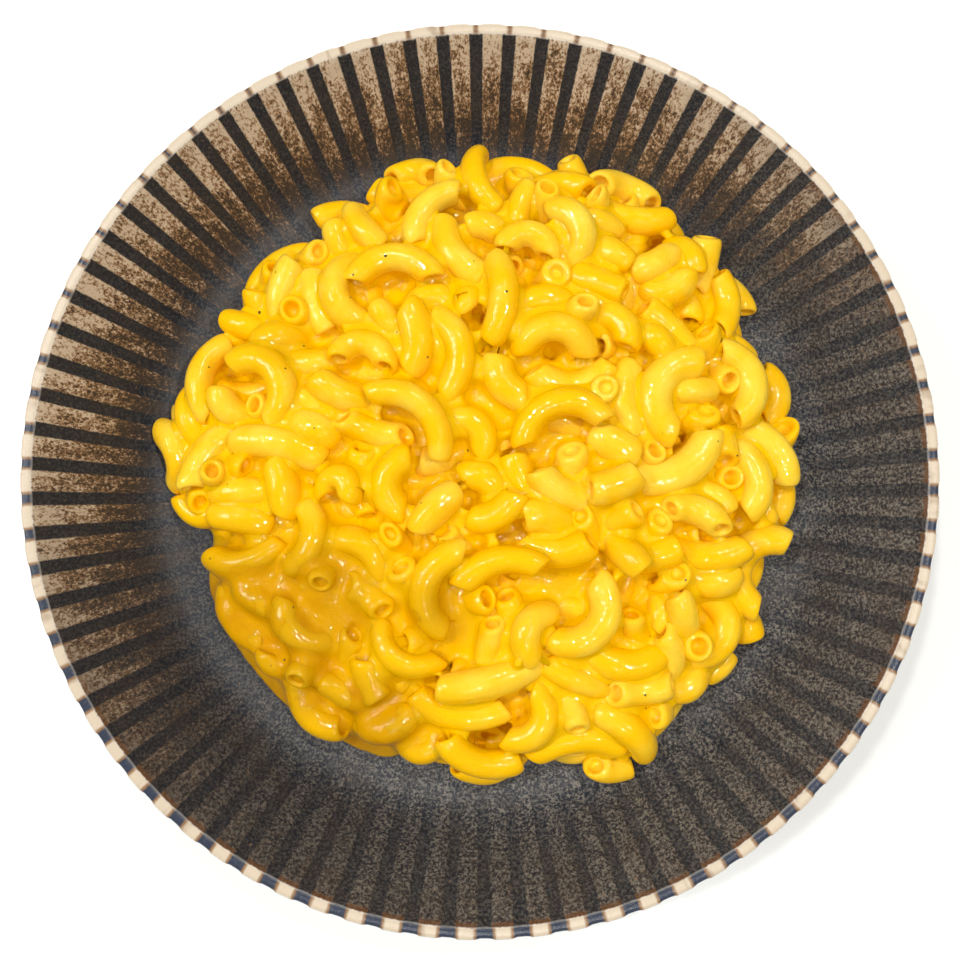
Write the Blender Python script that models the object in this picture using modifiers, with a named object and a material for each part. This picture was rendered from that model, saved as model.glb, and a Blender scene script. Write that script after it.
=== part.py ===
"""Mac and cheese in a fluted stoneware bowl.

Three solids, in metres with +Z up and the origin under the middle of the foot:
  bowl            thrown stoneware with carved flutes, a scalloped rim and a foot ring
  cheese_sauce    the pool of sauce that lies on the bowl's floor
  macaroni_heap   the heaped elbow macaroni, one solid out to its uneven outline
"""

import math

import bmesh
import bpy
from mathutils import Matrix, Vector

# Bowl
RIM_RADIUS = 0.120
BOWL_HEIGHT = 0.044
FOOT_HEIGHT = 0.0055
FLOOR_THICKNESS = 0.0055
FLOOR_RADIUS = 0.092
INNER_BEND_RADIUS = 0.0995
LIP_WIDTH = 0.0042
FOOT_RADIUS = 0.072
FOOT_WIDTH = 0.0065

# Flutes: raised ridges with grooves between them, as shares of one pitch
RIB_COUNT = 80
RIB_RELIEF = 0.0006
FIRST_RIDGE_ANGLE = math.radians(-1.7)
RIDGE_HALF_SHARE = 0.25
GROOVE_START_SHARE = 0.34
STEPS_PER_RIB = 4

# Food
CLEARANCE = 0.0003
SAUCE_DEPTH = 0.0027
HEAP_RADIUS = 0.0912
HEAP_TOP = 0.0370
HEAP_CORE_DROP = 0.0022
HEAP_WALL_GAP = 0.0012

# Elbow macaroni, cooked
TUBE_RADIUS = 0.0036
BEND_RADIUS = 0.0095
ELBOW_ARC = math.radians(165)
SURFACE_ELBOWS = 105
VOXEL = 0.0015
HEAP_TRIANGLES = 5000

# Each wave of the heap's outline: lobes round the heap, height in metres, direction of a crest in degrees
OUTLINE_WAVES = ((1, 0.0026, 54), (2, 0.0013, 73), (3, 0.0018, 52), (6, 0.0012, 51))
# The sauce has crept out on one side, between the bowl's left and its front
SAUCE_INSET = 0.0065
SAUCE_CREEP = 0.0080
SAUCE_EDGE_MARGIN = 0.0010
SAUCE_CREEP_DIRECTION = math.radians(222)
SAUCE_CREEP_SHARPNESS = 3

FLOOR_TOP = FOOT_HEIGHT + FLOOR_THICKNESS
GOLDEN_ANGLE = math.pi * (3 - math.sqrt(5))


def clear_scene():
    for obj in list(bpy.data.objects):
        bpy.data.objects.remove(obj, do_unlink=True)


def new_collection(name):
    collection = bpy.data.collections.new(name)
    bpy.context.scene.collection.children.link(collection)
    return collection


def new_material(name, colour, roughness):
    material = bpy.data.materials.new(name)
    material.use_nodes = True
    shader = material.node_tree.nodes["Principled BSDF"]
    shader.inputs["Base Color"].default_value = (*colour, 1.0)
    shader.inputs["Roughness"].default_value = roughness
    shader.inputs["Metallic"].default_value = 0.0
    material.diffuse_color = (*colour, 1.0)
    return material


def add_object(name, mesh, collection, material):
    obj = bpy.data.objects.new(name, mesh)
    collection.objects.link(obj)
    mesh.materials.clear()
    mesh.materials.append(material)
    return obj


def turned_mesh(name, profile, steps):
    """A closed solid of revolution: the profile runs from the axis, over the top and down the outer side."""
    bm = bmesh.new()
    verts = [bm.verts.new((radius, 0.0, height)) for radius, height in profile]
    for first, second in zip(verts, verts[1:]):
        bm.edges.new((first, second))
    line = bpy.data.meshes.new(name + "_profile")
    bm.to_mesh(line)
    bm.free()
    guide = bpy.data.objects.new(name + "_profile", line)
    bpy.context.scene.collection.objects.link(guide)
    screw = guide.modifiers.new("turn", "SCREW")
    screw.steps = steps
    screw.render_steps = steps
    screw.use_merge_vertices = True
    screw.merge_threshold = 0.00001
    graph = bpy.context.evaluated_depsgraph_get()
    mesh = bpy.data.meshes.new_from_object(guide.evaluated_get(graph))
    mesh.name = name
    bpy.data.objects.remove(guide, do_unlink=True)
    return mesh


# Bowl -----------------------------------------------------------------------------------------


def bowl_profile():
    """(radius, height, relief) from the floor's centre to the underside's. Relief is the share of a
    ridge's height that stands on that ring: below zero it stands inwards, above zero outwards."""
    lip_inner = RIM_RADIUS - LIP_WIDTH
    lip_middle = RIM_RADIUS - 0.5 * LIP_WIDTH
    edge = RIM_RADIUS - RIB_RELIEF
    inside = [
        (0.0, FLOOR_TOP, 0.0),
        (FLOOR_RADIUS, FLOOR_TOP, 0.0),
        (FLOOR_RADIUS + 0.0045, FLOOR_TOP + 0.0018, 0.0),
        (INNER_BEND_RADIUS, FLOOR_TOP + 0.0055, -0.5),
    ]
    lip = [
        (lip_inner, BOWL_HEIGHT - 0.0014, -1.0),
        (lip_middle - 0.0007, BOWL_HEIGHT, -0.3),
        (lip_middle + 0.0007, BOWL_HEIGHT, 0.3),
        (edge, BOWL_HEIGHT - 0.0013, 1.0),
    ]
    outside = [
        (INNER_BEND_RADIUS + 0.0065, FOOT_HEIGHT + 0.0095, 0.7),
        (INNER_BEND_RADIUS + 0.0010, FOOT_HEIGHT + 0.0025, 0.0),
        (FLOOR_RADIUS, FOOT_HEIGHT + 0.0004, 0.0),
    ]
    foot_inner = FOOT_RADIUS - FOOT_WIDTH
    foot = [
        (FOOT_RADIUS + 0.0010, FOOT_HEIGHT, 0.0),
        (FOOT_RADIUS, 0.0010, 0.0),
        (FOOT_RADIUS - 0.0010, 0.0, 0.0),
        (foot_inner + 0.0010, 0.0, 0.0),
        (foot_inner, 0.0010, 0.0),
        (foot_inner - 0.0010, FOOT_HEIGHT, 0.0),
        (0.0, FOOT_HEIGHT, 0.0),
    ]
    return inside + lip + outside + foot


def rib_station(step):
    """(share of the pitch, height of the ridge there) of one of a flute's four edges."""
    stations = (
        (-RIDGE_HALF_SHARE, 1.0),
        (RIDGE_HALF_SHARE, 1.0),
        (GROOVE_START_SHARE, 0.0),
        (1.0 - GROOVE_START_SHARE, 0.0),
    )
    return stations[step % STEPS_PER_RIB]


def carve_flutes(mesh, profile):
    """Turns each group of four edges into one ridge and one groove. On plain rings the four close into one."""
    reliefs = {(round(r, 6), round(z, 6)): relief for r, z, relief in profile}
    pitch = 2 * math.pi / RIB_COUNT
    bm = bmesh.new()
    bm.from_mesh(mesh)
    for vert in bm.verts:
        radius = math.hypot(vert.co.x, vert.co.y)
        if radius < 1e-6:
            continue
        relief = reliefs[nearest_ring(reliefs, radius, vert.co.z)]
        step = round(math.atan2(vert.co.y, vert.co.x) / (pitch / STEPS_PER_RIB))
        rib, station = divmod(step, STEPS_PER_RIB)
        share, height = rib_station(station) if relief else (0.0, 0.0)
        angle = (rib + share) * pitch + FIRST_RIDGE_ANGLE
        radius += relief * height * RIB_RELIEF
        vert.co.x = radius * math.cos(angle)
        vert.co.y = radius * math.sin(angle)
    bmesh.ops.remove_doubles(bm, verts=bm.verts, dist=1e-6)
    bmesh.ops.recalc_face_normals(bm, faces=bm.faces)
    bm.to_mesh(mesh)
    bm.free()


def nearest_ring(reliefs, radius, height):
    return min(reliefs, key=lambda ring: abs(ring[0] - radius) + abs(ring[1] - height))


def make_bowl(collection):
    profile = bowl_profile()
    mesh = turned_mesh("bowl", [(r, z) for r, z, _ in profile], RIB_COUNT * STEPS_PER_RIB)
    carve_flutes(mesh, profile)
    mesh.shade_smooth()
    mesh.set_sharp_from_angle(angle=math.radians(35))
    glaze = new_material("iron_glaze", (0.035, 0.030, 0.028), 0.35)
    return add_object("bowl", mesh, collection, glaze)


# Food -----------------------------------------------------------------------------------------


def heap_reach(angle):
    """The heap's radius in this direction."""
    waves = (
        height * math.cos(lobes * (angle - math.radians(crest)))
        for lobes, height, crest in OUTLINE_WAVES
    )
    return HEAP_RADIUS + sum(waves)


def sauce_reach(angle):
    """The sauce stops just inside the heap, except where it has crept out."""
    towards = max(0.0, math.cos(angle - SAUCE_CREEP_DIRECTION))
    reach = heap_reach(angle) - SAUCE_INSET + SAUCE_CREEP * towards**SAUCE_CREEP_SHARPNESS
    return min(reach, FLOOR_RADIUS - SAUCE_EDGE_MARGIN)


def stretch_to_outline(bm, nominal_radius, reach):
    for vert in bm.verts:
        angle = math.atan2(vert.co.y, vert.co.x)
        share = reach(angle) / nominal_radius
        vert.co.x *= share
        vert.co.y *= share


def make_sauce(collection):
    bottom = FLOOR_TOP + CLEARANCE
    top = bottom + SAUCE_DEPTH
    profile = [
        (0.0, top),
        (HEAP_RADIUS - 0.0040, top),
        (HEAP_RADIUS - 0.0014, top - 0.3 * SAUCE_DEPTH),
        (HEAP_RADIUS, bottom + 0.3 * SAUCE_DEPTH),
        (HEAP_RADIUS - 0.0004, bottom),
        (0.0, bottom),
    ]
    mesh = turned_mesh("cheese_sauce", profile, 48)
    bm = bmesh.new()
    bm.from_mesh(mesh)
    stretch_to_outline(bm, HEAP_RADIUS, sauce_reach)
    bm.to_mesh(mesh)
    bm.free()
    mesh.shade_smooth()
    sauce = new_material("cheese_sauce", (0.85, 0.42, 0.02), 0.25)
    return add_object("cheese_sauce", mesh, collection, sauce)


def crown_height(share):
    """Height of the heap's skin over its base, where share is the way out from the middle to the outline."""
    base = FLOOR_TOP + 2 * CLEARANCE + SAUCE_DEPTH
    full = HEAP_TOP - TUBE_RADIUS - base
    return base + full * max(0.0, 1.0 - share**2.6) ** 0.62


def add_heap_core(bm):
    """The rounded mound that the surface elbows sit on."""
    base = FLOOR_TOP + 2 * CLEARANCE + SAUCE_DEPTH
    shares = (0.0, 0.2, 0.4, 0.6, 0.75, 0.87, 0.95, 1.0)
    profile = [(HEAP_RADIUS * s, max(base, crown_height(s) - HEAP_CORE_DROP)) for s in shares]
    profile[-1] = (HEAP_RADIUS * 0.985, base + 0.003)
    profile += [(HEAP_RADIUS * 0.96, base), (0.0, base)]
    mesh = turned_mesh("heap_core", profile, 72)
    core = bmesh.new()
    core.from_mesh(mesh)
    stretch_to_outline(core, HEAP_RADIUS * 1.02, heap_reach)
    core.to_mesh(mesh)
    core.free()
    bm.from_mesh(mesh)
    bpy.data.meshes.remove(mesh)


def add_elbow(bm, place, bend, arc):
    """One macaroni as a closed bent tube: a disc spun about the middle of the bend."""
    start = Matrix.Rotation(math.radians(90), 4, "X")
    disc = bmesh.ops.create_circle(
        bm, cap_ends=True, radius=TUBE_RADIUS, segments=8, matrix=Matrix.Translation((bend, 0, 0)) @ start
    )
    faces = list({face for vert in disc["verts"] for face in vert.link_faces})
    edges = list({edge for vert in disc["verts"] for edge in vert.link_edges})
    before = set(bm.verts) - set(disc["verts"])
    bmesh.ops.spin(
        bm, geom=disc["verts"] + edges + faces, axis=(0, 0, 1), cent=(0, 0, 0), angle=arc, steps=6
    )
    made = [vert for vert in bm.verts if vert not in before]
    centred = Matrix.Translation((-0.6 * bend, 0, 0)) @ Matrix.Rotation(-0.5 * arc, 4, "Z")
    bmesh.ops.transform(bm, matrix=place @ centred, verts=made)


def surface_place(index):
    """Where the elbow of this number lies on the mound: a sunflower spiral, each one turned and tipped its own way."""
    share = math.sqrt((index + 0.5) / SURFACE_ELBOWS)
    angle = index * GOLDEN_ANGLE
    reach = heap_reach(angle) - 2.2 * TUBE_RADIUS
    position = Vector((share * reach * math.cos(angle), share * reach * math.sin(angle), 0.0))
    position.z = crown_height(share * 0.97) - 0.2 * TUBE_RADIUS
    slope = math.radians(38) * share**4
    outwards = Matrix.Rotation(angle, 4, "Z") @ Matrix.Rotation(slope, 4, "Y")
    heading = Matrix.Rotation(index * 2.1, 4, "Z")
    tip = Matrix.Rotation(math.radians(11) * math.sin(index * 1.7), 4, "X")
    return Matrix.Translation(position) @ outwards @ heading @ tip


def keep_inside_bowl(bm):
    """Pulls the heap's skin clear of the wall and of the sauce below."""
    base = FLOOR_TOP + 2 * CLEARANCE + SAUCE_DEPTH
    low, high = FLOOR_TOP + 0.0055, BOWL_HEIGHT
    wall_low = INNER_BEND_RADIUS - RIB_RELIEF - HEAP_WALL_GAP
    wall_high = RIM_RADIUS - LIP_WIDTH - RIB_RELIEF - HEAP_WALL_GAP
    for vert in bm.verts:
        vert.co.z = max(vert.co.z, base)
        height = (vert.co.z - low) / (high - low)
        limit = wall_low + (wall_high - wall_low) * height
        if vert.co.z < low:
            limit = FLOOR_RADIUS + 0.0030 + (wall_low - FLOOR_RADIUS - 0.0030) * (vert.co.z - base) / (low - base)
        radius = math.hypot(vert.co.x, vert.co.y)
        if radius > limit:
            vert.co.x *= limit / radius
            vert.co.y *= limit / radius


def make_heap(collection):
    """Mound and elbows, drawn together into one skin."""
    bm = bmesh.new()
    add_heap_core(bm)
    for index in range(SURFACE_ELBOWS):
        bend = BEND_RADIUS * (1.0 + 0.12 * math.sin(index * 1.3))
        arc = ELBOW_ARC * (1.0 + 0.10 * math.cos(index * 2.3))
        add_elbow(bm, surface_place(index), bend, arc)
    bmesh.ops.recalc_face_normals(bm, faces=bm.faces)
    pile = bpy.data.meshes.new("macaroni_heap")
    bm.to_mesh(pile)
    bm.free()
    guide = bpy.data.objects.new("heap_guide", pile)
    bpy.context.scene.collection.objects.link(guide)
    remesh = guide.modifiers.new("one_skin", "REMESH")
    remesh.mode = "VOXEL"
    remesh.voxel_size = VOXEL
    graph = bpy.context.evaluated_depsgraph_get()
    dense = len(guide.evaluated_get(graph).data.polygons) * 2
    thin = guide.modifiers.new("fewer_faces", "DECIMATE")
    thin.ratio = HEAP_TRIANGLES / dense
    thin.use_collapse_triangulate = True
    graph = bpy.context.evaluated_depsgraph_get()
    mesh = bpy.data.meshes.new_from_object(guide.evaluated_get(graph))
    bpy.data.objects.remove(guide, do_unlink=True)
    skin = bmesh.new()
    skin.from_mesh(mesh)
    keep_inside_bowl(skin)
    skin.to_mesh(mesh)
    skin.free()
    mesh.name = "macaroni_heap"
    mesh.shade_smooth()
    pasta = new_material("sauced_macaroni", (0.90, 0.58, 0.03), 0.30)
    return add_object("macaroni_heap", mesh, collection, pasta)


def main():
    clear_scene()
    parts = new_collection("mac_and_cheese")
    whole = bpy.data.objects.new("mac_and_cheese_origin", None)
    parts.objects.link(whole)
    for obj in (make_bowl(parts), make_sauce(parts), make_heap(parts)):
        obj.parent = whole


main()
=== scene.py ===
"""Mac and cheese in a fluted stoneware bowl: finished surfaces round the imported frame.

The bowl, the heaped macaroni, the cheese sauce between them and the pepper on top are modelled here at
true size, in metres, with +Z up and the origin under the middle of the bowl's foot.
"""

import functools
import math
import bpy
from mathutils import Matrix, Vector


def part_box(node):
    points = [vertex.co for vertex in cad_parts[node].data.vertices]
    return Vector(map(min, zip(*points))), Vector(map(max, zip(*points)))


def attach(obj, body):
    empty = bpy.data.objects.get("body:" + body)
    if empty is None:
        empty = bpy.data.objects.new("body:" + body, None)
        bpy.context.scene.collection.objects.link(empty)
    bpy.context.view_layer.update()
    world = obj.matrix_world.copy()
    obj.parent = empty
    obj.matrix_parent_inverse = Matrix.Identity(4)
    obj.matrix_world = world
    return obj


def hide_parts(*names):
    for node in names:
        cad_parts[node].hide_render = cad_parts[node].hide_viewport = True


bl_info = {
    "name": "Mac and Cheese Bowl",
    "version": (1, 0, 0),
    "blender": (4, 5, 0),
    "location": "3D View > Sidebar > Mac and Cheese",
    "description": "Builds a fluted stoneware bowl heaped with elbow macaroni in cheese sauce",
    "category": "Mesh",
}

import bmesh
import bpy
import numpy as np
from bpy.props import FloatProperty, FloatVectorProperty, IntProperty, PointerProperty
from mathutils import Matrix, Vector, noise
from mathutils.bvhtree import BVHTree

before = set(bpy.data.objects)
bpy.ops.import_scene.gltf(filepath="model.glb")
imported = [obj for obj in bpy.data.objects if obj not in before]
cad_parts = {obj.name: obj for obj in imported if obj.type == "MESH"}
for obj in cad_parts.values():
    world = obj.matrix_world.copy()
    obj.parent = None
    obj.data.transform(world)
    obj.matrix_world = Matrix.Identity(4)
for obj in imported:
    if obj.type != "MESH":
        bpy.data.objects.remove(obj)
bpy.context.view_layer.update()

MM = 0.001
BOWL_LOW, BOWL_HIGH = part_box("bowl")
POOL_LOW, POOL_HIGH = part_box("cheese_sauce")
HEAP_LOW, HEAP_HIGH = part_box("macaroni_heap")
CLEARANCE = HEAP_LOW.z - POOL_HIGH.z
FLOOR_TOP = POOL_LOW.z - CLEARANCE
HEAP_BASE = POOL_LOW.z
HEAP_TOP = HEAP_HIGH.z - 0.0014


def linear(hex_colour):
    """sRGB hex to the linear values that shaders and colour properties hold."""
    channels = [int(hex_colour[i : i + 2], 16) / 255 for i in (0, 2, 4)]
    return tuple(c / 12.92 if c <= 0.04045 else ((c + 0.055) / 1.055) ** 2.4 for c in channels)


def colour_property(name, description, hex_colour):
    kind = {"subtype": "COLOR", "size": 3, "min": 0.0, "max": 1.0}
    return FloatVectorProperty(name=name, description=description, default=linear(hex_colour), **kind)


def length_property(name, description, metres):
    kind = {"unit": "LENGTH", "min": 0.0, "precision": 5}
    return FloatProperty(name=name, description=description, default=metres, **kind)


def share_property(name, description, share):
    return FloatProperty(name=name, description=description, default=share, subtype="FACTOR")


def angle_property(name, description, degrees):
    return FloatProperty(name=name, description=description, default=math.radians(degrees), subtype="ANGLE")


def number_property(name, description, number):
    return FloatProperty(name=name, description=description, default=number)


def count_property(name, description, count):
    return IntProperty(name=name, description=description, default=count, min=0)


# Settings -------------------------------------------------------------------------------------


class BowlSettings(bpy.types.PropertyGroup):
    rib_count: count_property("Ribs", "Carved ridges round the wall", 80)
    rib_relief: length_property("Rib Relief", "Height of a ridge over its grooves", 0.0006)
    first_ridge: angle_property("First Ridge", "Direction of the first ridge's middle", -1.7)
    ridge_share: share_property("Ridge Share", "Share of a pitch that is ridge", 0.59)
    floor_radius: length_property("Floor Radius", "Radius of the flat floor", 0.092)
    bend_radius: length_property("Wall Foot", "Radius where the straight wall starts", 0.0995)
    lip_width: length_property("Lip Width", "Thickness of the wall at the lip", 0.0042)
    foot_radius: length_property("Foot Radius", "Outer radius of the foot ring", 0.072)
    charcoal: colour_property("Charcoal", "Iron glaze in the grooves and on the floor", "191F29")
    ash: colour_property("Ash", "Paler grain of the iron glaze", "888279")
    slate: colour_property("Slate", "Cool grain of the iron glaze", "3C424B")
    umber: colour_property("Umber", "Darkest break on the ridges", "40362F")
    tan: colour_property("Tan", "Glaze that has broken over the ridges", "8D6A48")
    cream: colour_property("Cream", "Bare slip on the ridges and the rim", "DCC9AF")
    navy: colour_property("Navy", "Cobalt strokes between the rim's cream ones", "303749")
    clay: colour_property("Clay", "Unglazed stoneware of the foot ring", "9C8066")
    rust: colour_property("Rust", "Burnt edge where the glaze stops under the rim", "6B4420")
    # Painted highlight: a pale line standing for the light caught along the lip's inner edge
    painted_lip_highlight: colour_property("Chalk", "Fine light line along the rim's inner edge", "D8D4CC")


class PastaSettings(bpy.types.PropertyGroup):
    tube_radius: length_property("Tube Radius", "Outer radius of a cooked macaroni", 0.0042)
    bore_share: share_property("Bore", "Bore as a share of the outer width", 0.42)
    buried_count: count_property("Buried", "Macaroni under the top layer", 110)
    seed: count_property("Seed", "Order of the buried macaroni", 7)
    yellow: colour_property("Yellow", "Pasta stained by the sauce", "FABF00")
    pale: colour_property("Pale", "Pasta where the film of sauce is thinnest", "F9D94C")
    # Painted shade: the darker amber that pasta takes the deeper it lies in the heap, where shade falls
    # between the macaroni
    amber: colour_property("Amber", "Deep between the macaroni", "EFB007")
    coated: colour_property("Coated", "Pasta under a thick coat of sauce", "D09A04")


class SauceSettings(bpy.types.PropertyGroup):
    fillet: length_property("Fillet", "Radius to which sauce fills the gaps between macaroni", 0.0017)
    voxel: length_property("Grain", "Cell size of the sauce's skin", 0.00098)
    gold: colour_property("Gold", "Cheese sauce in a thin layer", "EFBB00")
    amber: colour_property("Amber", "Cheese sauce in a thick layer", "D29700")
    brown: colour_property("Brown", "Cheese sauce where it has caught", "BF7C00")


class PepperSettings(bpy.types.PropertyGroup):
    count: count_property("Specks", "Flakes of ground pepper on the heap", 46)
    size: length_property("Size", "Width of a usual flake", 0.00065)
    brown: colour_property("Brown", "Ground pepper wet with sauce", "3A2606")
    green: colour_property("Green", "Flecks of dried parsley", "4E5A10")


class StageSettings(bpy.types.PropertyGroup):
    backdrop: colour_property("Backdrop", "Floor and surroundings", "FAFAF8")
    lens: number_property("Lens", "Focal length in millimetres", 34.72)
    tilt: angle_property("Tilt", "Lean of the view from straight down", 5.75)
    rim_radii_away: number_property("Distance", "Distance to the rim's middle, in rim radii", 2.0)
    shift: number_property("Shift", "Raises the picture on the film", -0.022)
    sky_seen: number_property("Backdrop Light", "Brightness of the room that the lens sees", 1.04)
    sky: number_property("Room Light", "Light that the room gives from all round", 0.28)
    sun: number_property("Window Light", "Strength of the window", 1.0)
    lamp: number_property("Lamp Light", "Strength of each lamp", 0.74)


SETTINGS = {
    "bowl_settings": BowlSettings,
    "pasta_settings": PastaSettings,
    "sauce_settings": SauceSettings,
    "pepper_settings": PepperSettings,
    "stage_settings": StageSettings,
}


# Meshes and nodes -----------------------------------------------------------------------------


def finish_piece(name, mesh, material, slot, *nodes):
    """Puts a finished mesh in the scene as a piece that rides on the bowl and food's one body."""
    piece = bpy.data.objects.new(name, mesh)
    bpy.context.scene.collection.objects.link(piece)
    mesh.materials.clear()
    mesh.materials.append(material)
    mesh.shade_smooth()
    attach(piece, "root")
    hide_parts(*nodes)
    return piece


def mesh_from(bm, name):
    mesh = bpy.data.meshes.new(name)
    bm.to_mesh(mesh)
    bm.free()
    return mesh


def add_subdivision(piece, levels):
    subdivision = piece.modifiers.new("soft", "SUBSURF")
    subdivision.levels = levels
    subdivision.render_levels = levels


def new_material(name):
    material = bpy.data.materials.new(name)
    material.use_nodes = True
    tree = material.node_tree
    return material, tree, tree.nodes["Principled BSDF"]


def add_node(tree, kind, settings, inputs):
    """A node of this kind with these properties. Each input takes a value or another node's socket."""
    node = tree.nodes.new(kind)
    for name, value in settings.items():
        setattr(node, name, value)
    for key, value in inputs.items():
        if isinstance(value, bpy.types.NodeSocket):
            tree.links.new(value, node.inputs[key])
        else:
            node.inputs[key].default_value = value
    return node


def object_place(tree):
    return add_node(tree, "ShaderNodeTexCoord", {}, {}).outputs["Object"]


def stored(tree, name):
    """A number that the mesh stores on each point."""
    return add_node(tree, "ShaderNodeAttribute", {"attribute_name": name}, {}).outputs["Fac"]


def calculated(tree, operation, *values, clamp=False):
    inputs = dict(enumerate(values))
    return add_node(tree, "ShaderNodeMath", {"operation": operation, "use_clamp": clamp}, inputs).outputs[0]


def mixed(tree, share, colour_a, colour_b):
    inputs = {0: share, 6: colour_a, 7: colour_b}
    return add_node(tree, "ShaderNodeMix", {"data_type": "RGBA"}, inputs).outputs[2]


def graded(tree, value, low, high, bottom=0.0, top=1.0, kind="LINEAR"):
    """Carries the range low to high over to the range bottom to top, and holds it there beyond the ends."""
    inputs = {0: value, 1: low, 2: high, 3: bottom, 4: top}
    return add_node(tree, "ShaderNodeMapRange", {"interpolation_type": kind}, inputs).outputs[0]


def grained(tree, vector, size_mm, detail=2.0, roughness=0.5):
    inputs = {"Vector": vector, "Scale": 1000.0 / size_mm, "Detail": detail, "Roughness": roughness}
    return add_node(tree, "ShaderNodeTexNoise", {}, inputs).outputs[0]


def bumped(tree, height, strength, distance):
    inputs = {"Strength": strength, "Distance": distance, "Height": height}
    return add_node(tree, "ShaderNodeBump", {}, inputs).outputs[0]


def set_shader(shader, values):
    for name, value in values.items():
        shader.inputs[name].default_value = value


def make_moist(tree, shader, place, lumps, own_values):
    """What pasta and sauce share: light that sinks in and comes out warmer, the yellow reflection of
    butter fat, and a thin liquid film that pools in soft dimples and gives small sharp highlights."""
    tree.links.new(bumped(tree, lumps, 0.5, 0.00035), shader.inputs["Normal"])
    dimples = grained(tree, place, 2.0, 1.5)
    tree.links.new(bumped(tree, dimples, 0.5, 0.0005), shader.inputs["Coat Normal"])
    shader.subsurface_method = "BURLEY"
    shared = {
        "IOR": 1.42,
        "Specular IOR Level": 0.12,
        "Specular Tint": (1.0, 0.92, 0.50, 1.0),
        "Coat Roughness": 0.06,
        "Subsurface Radius": (1.0, 0.75, 0.15),
    }
    set_shader(shader, shared | own_values)


def opaque(colour):
    return (*colour, 1.0)


# Bowl -----------------------------------------------------------------------------------------

BOWL_STEPS_PER_RIB = 10
LONGEST_PROFILE_STEP = 0.0045
FLOOR_EDGE = 0.014  # how far inside the floor's radius the ridges begin to show
LIP_HEIGHTS = (0.0402, 0.0408)  # where the wall's glaze gives way to the rim's
# Direction in degrees of the side of the bowl whose ridges are tan
TAN_RIDGE_DEGREES = 122
# Direction in degrees where the glaze grain is greyest; away from it the grain fades as painted shade
LEAST_SHADE_DEGREES = -35


def rounded_profile(corners):
    """Points along a profile whose corners are (radius, height, rounding, relief). Each corner becomes an
    arc, and long stretches are divided, so that the ridges can rise and fade along them."""
    points = []
    for index, (radius, height, rounding, relief) in enumerate(corners):
        here = Vector((radius, height))
        if rounding == 0.0 or index in (0, len(corners) - 1):
            points.append((here, relief))
            continue
        before = Vector(corners[index - 1][:2]) - here
        after = Vector(corners[index + 1][:2]) - here
        entry = here + before.normalized() * rounding
        leave = here + after.normalized() * rounding
        for step in range(5):
            share = step / 4
            bent = entry.lerp(here, share).lerp(here.lerp(leave, share), share)
            points.append((bent, relief))
    dense = [points[0]]
    for (start, relief_a), (end, relief_b) in zip(points, points[1:]):
        steps = max(1, math.ceil((end - start).length / LONGEST_PROFILE_STEP))
        for step in range(1, steps + 1):
            share = step / steps
            dense.append((start.lerp(end, share), relief_a + (relief_b - relief_a) * share))
    return dense


def bowl_corners(bowl):
    """The wall's section, from the floor's middle over the lip to the underside's middle. Relief below
    zero stands a ridge inwards, above zero outwards."""
    rim = round(BOWL_HIGH.x, 4)
    top = BOWL_HIGH.z
    lip_inner = rim - bowl.lip_width
    edge = rim - bowl.rib_relief
    under = FLOOR_TOP / 2
    foot_inner = bowl.foot_radius - 0.0065
    return [
        (0.0, FLOOR_TOP, 0.0, 0.0),
        (bowl.floor_radius - FLOOR_EDGE, FLOOR_TOP, 0.0, 0.0),
        (bowl.floor_radius - 0.008, FLOOR_TOP, 0.0, -0.5),
        (bowl.bend_radius - 0.0034, FLOOR_TOP + 0.0001, 0.0085, -0.7),
        (lip_inner - 0.0003, top - 0.0020, 0.0008, -1.0),
        (lip_inner + 0.0008, top, 0.0007, -0.5),
        (edge - 0.0004, top, 0.0010, 0.5),
        (edge - 0.0001, top - 0.0024, 0.0009, 1.0),
        (bowl.bend_radius + 0.0065, under + 0.0095, 0.0020, 0.7),
        (bowl.bend_radius + 0.0010, under + 0.0025, 0.0015, 0.0),
        (bowl.floor_radius, under + 0.0004, 0.0, 0.0),
        (bowl.foot_radius + 0.0012, under, 0.0008, 0.0),
        (bowl.foot_radius, 0.0, 0.0008, 0.0),
        (foot_inner, 0.0, 0.0008, 0.0),
        (foot_inner - 0.0010, under, 0.0008, 0.0),
        (0.0, under, 0.0, 0.0),
    ]


def smooth_step(low, high, value):
    share = min(1.0, max(0.0, (value - low) / (high - low)))
    return share * share * (3.0 - 2.0 * share)


def ridge_height(angle, bowl):
    """One on a ridge, zero in a groove, with a soft shoulder between them."""
    phase = (angle - bowl.first_ridge) / (2 * math.pi / bowl.rib_count)
    off_centre = 2.0 * abs(phase - round(phase))
    return 1.0 - smooth_step(bowl.ridge_share - 0.10, bowl.ridge_share + 0.14, off_centre)


def bowl_mesh(bowl):
    """Rolls a flat sheet into the bowl: one way along the wall's section, the other way round it."""
    profile = rounded_profile(bowl_corners(bowl))
    last = len(profile) - 1
    around = bowl.rib_count * BOWL_STEPS_PER_RIB
    bm = bmesh.new()
    bmesh.ops.create_grid(bm, x_segments=around, y_segments=last, size=1.0)
    turns = []
    for step in range(around + 1):
        angle = 2 * math.pi * (step % around) / around
        turns.append((math.cos(angle), math.sin(angle), ridge_height(angle, bowl) * bowl.rib_relief))
    for vert in bm.verts:
        point, relief = profile[round((vert.co.y + 1) / 2 * last)]
        cosine, sine, lift = turns[round((vert.co.x + 1) / 2 * around)]
        radius = point.x + relief * lift if point.x > 0.0 else 0.0
        vert.co = (radius * cosine, radius * sine, point.y)
    bmesh.ops.remove_doubles(bm, verts=bm.verts, dist=1e-6)
    bmesh.ops.recalc_face_normals(bm, faces=bm.faces)
    return mesh_from(bm, "fluted_bowl")


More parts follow.
